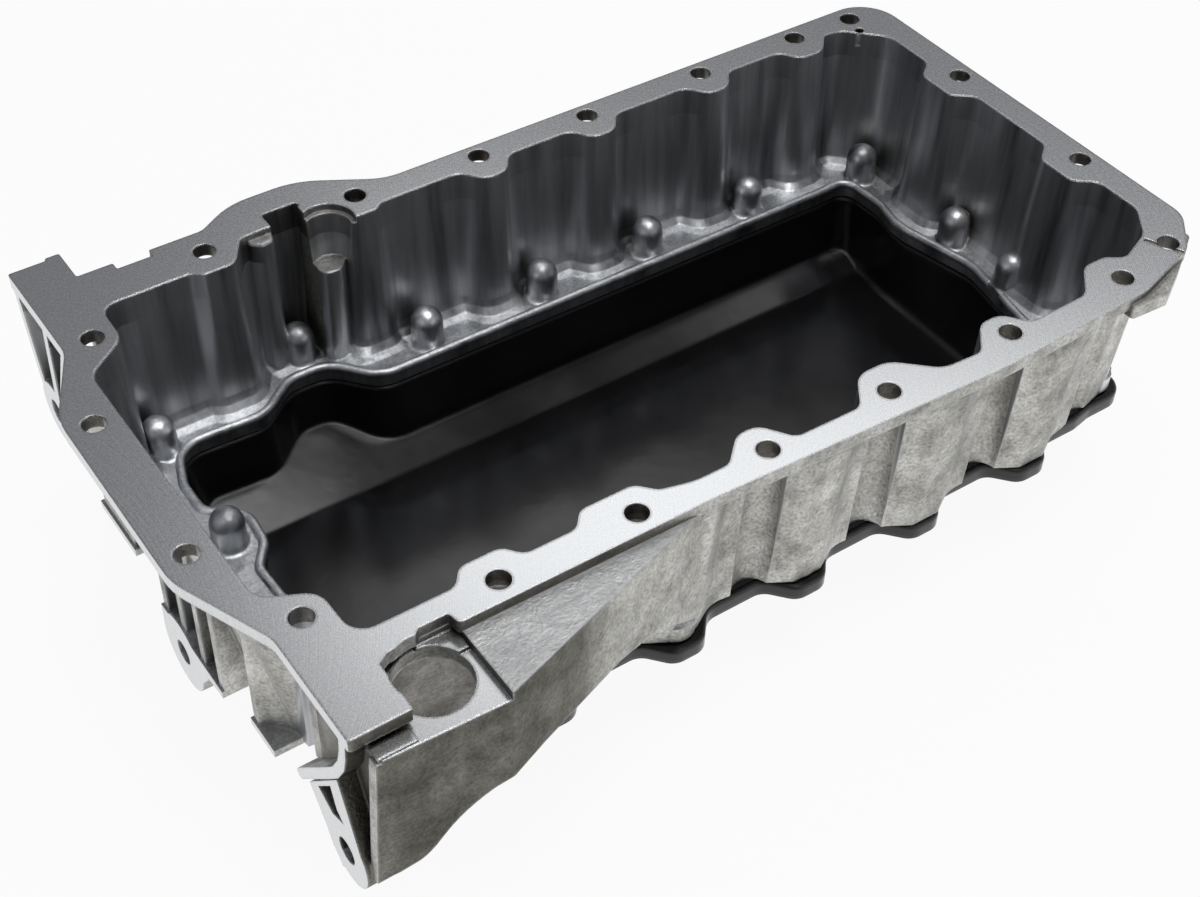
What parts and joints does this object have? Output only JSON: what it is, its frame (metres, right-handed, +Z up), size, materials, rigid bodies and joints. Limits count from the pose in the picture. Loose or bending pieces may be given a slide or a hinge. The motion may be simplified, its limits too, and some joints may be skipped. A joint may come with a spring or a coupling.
{
  "type": "engine oil pan",
  "caption": "Engine oil pan with a deep cast upper half, corrugated walls and a gearbox face, and a shallow pressed steel bowl bolted under it.",
  "frame": {"origin": "middle of the four end bolt holes, on the flange face that meets the engine block", "axes": "+X along the engine away from the gearbox end, +Z up out of the pan towards the block, +Y across the engine away from the starter pocket"},
  "size_m": [0.428, 0.2785, 0.1205],
  "materials": {
    "cast_aluminium": "satin",
    "black_enamelled_steel": "gloss",
    "black_sealant": "matte",
    "zinc_plated_steel": "satin",
    "weld_nut_steel": "satin",
    "washer_aluminium": "satin"
  },
  "bodies": {
    "root": {"upper_casting": "cast_aluminium", "lower_pan": "black_enamelled_steel", "sealant_bead": "black_sealant", "pan_bolt_01": "zinc_plated_steel", "pan_bolt_02": "zinc_plated_steel", "pan_bolt_03": "zinc_plated_steel", "pan_bolt_04": "zinc_plated_steel", "pan_bolt_05": "zinc_plated_steel", "pan_bolt_06": "zinc_plated_steel", "pan_bolt_07": "zinc_plated_steel", "pan_bolt_08": "zinc_plated_steel", "pan_bolt_09": "zinc_plated_steel", "pan_bolt_10": "zinc_plated_steel", "pan_bolt_11": "zinc_plated_steel", "pan_bolt_12": "zinc_plated_steel", "pan_bolt_13": "zinc_plated_steel", "pan_bolt_14": "zinc_plated_steel", "pan_bolt_15": "zinc_plated_steel", "pan_bolt_16": "zinc_plated_steel", "pan_bolt_17": "zinc_plated_steel", "pan_bolt_18": "zinc_plated_steel", "drain_nut": "weld_nut_steel", "drain_washer": "washer_aluminium", "drain_plug": "zinc_plated_steel"}
  },
  "joints": []
}
